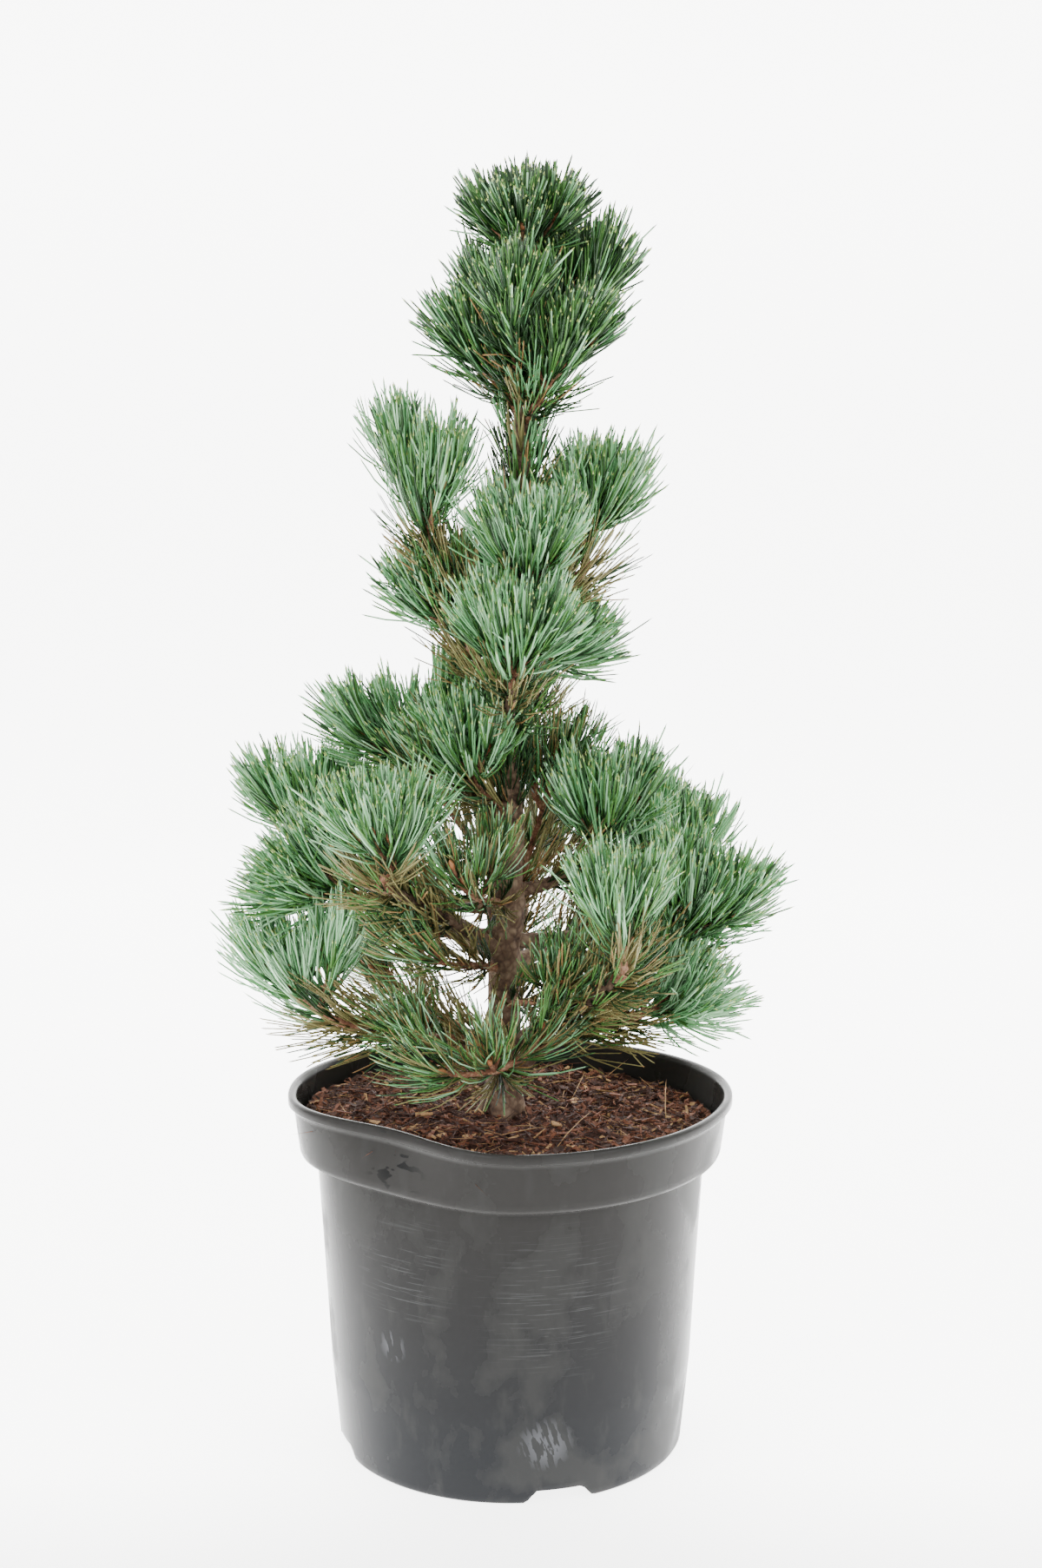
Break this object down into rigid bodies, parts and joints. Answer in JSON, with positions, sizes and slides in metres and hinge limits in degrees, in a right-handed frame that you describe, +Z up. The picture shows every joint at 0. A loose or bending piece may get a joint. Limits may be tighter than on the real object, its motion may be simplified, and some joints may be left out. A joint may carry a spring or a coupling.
{
  "type": "potted japanese white pine",
  "caption": "Japanese white pine with blue-green needle tufts on an upright stem, standing in a dented dark plastic nursery pot.",
  "frame": {"origin": "middle of the flat underside of the pot, on the floor", "axes": "+Z is up along the stem, +X is to the right and -Y is the front, as the picture shows the plant"},
  "size_m": [0.3303, 0.288, 0.7407],
  "materials": {
    "pot_plastic": "moulded plastic, satin, dusty and scuffed",
    "bark_compost": "damp shredded bark and peat with pale fibres",
    "bark": "rough scaly grey-brown bark, red-brown on young shoots",
    "needles": "waxy blue-green needles in bundles of five"
  },
  "bodies": {
    "root": {"pot": "pot_plastic", "soil": "bark_compost", "trunk": "bark", "bough_top_right": "bark", "bough_left_high": "bark", "bough_right_high": "bark", "bough_front_high": "bark", "bough_front_mid": "bark", "bough_back_high": "bark", "bough_back_mid": "bark", "bough_left_upper": "bark", "bough_left_front": "bark", "bough_left": "bark", "bough_left_back": "bark", "bough_left_lowest": "bark", "bough_right_front": "bark", "bough_right_low": "bark", "bough_right": "bark", "bough_right_back": "bark", "bough_right_upper": "bark", "bough_back": "bark", "bough_back_left": "bark", "bough_back_right": "bark", "mass_top": "needles", "mass_top_front": "needles", "mass_top_left": "needles", "mass_top_front_right": "needles", "mass_top_back": "needles", "mass_top_right": "needles", "mass_left_high": "needles", "mass_right_high": "needles", "mass_front_high": "needles", "mass_front_mid": "needles", "mass_back_high": "needles", "mass_back_mid": "needles", "mass_left_mid": "needles", "mass_right_mid": "needles", "mass_left_upper": "needles", "mass_front_left_upper": "needles", "mass_left_inner": "needles", "mass_right_inner": "needles", "mass_right_upper": "needles", "mass_left_front": "needles", "mass_left": "needles", "mass_left_back": "needles", "mass_left_lowest": "needles", "mass_front_inner": "needles", "mass_front_left": "needles", "mass_front_left_low": "needles", "mass_front_low": "needles", "mass_front_right_low": "needles", "mass_right_front": "needles", "mass_right_low": "needles", "mass_right": "needles", "mass_right_back": "needles", "mass_back": "needles", "mass_back_left": "needles", "mass_back_right": "needles", "mass_back_left_low": "needles", "mass_back_right_low": "needles"}
  },
  "joints": []
}
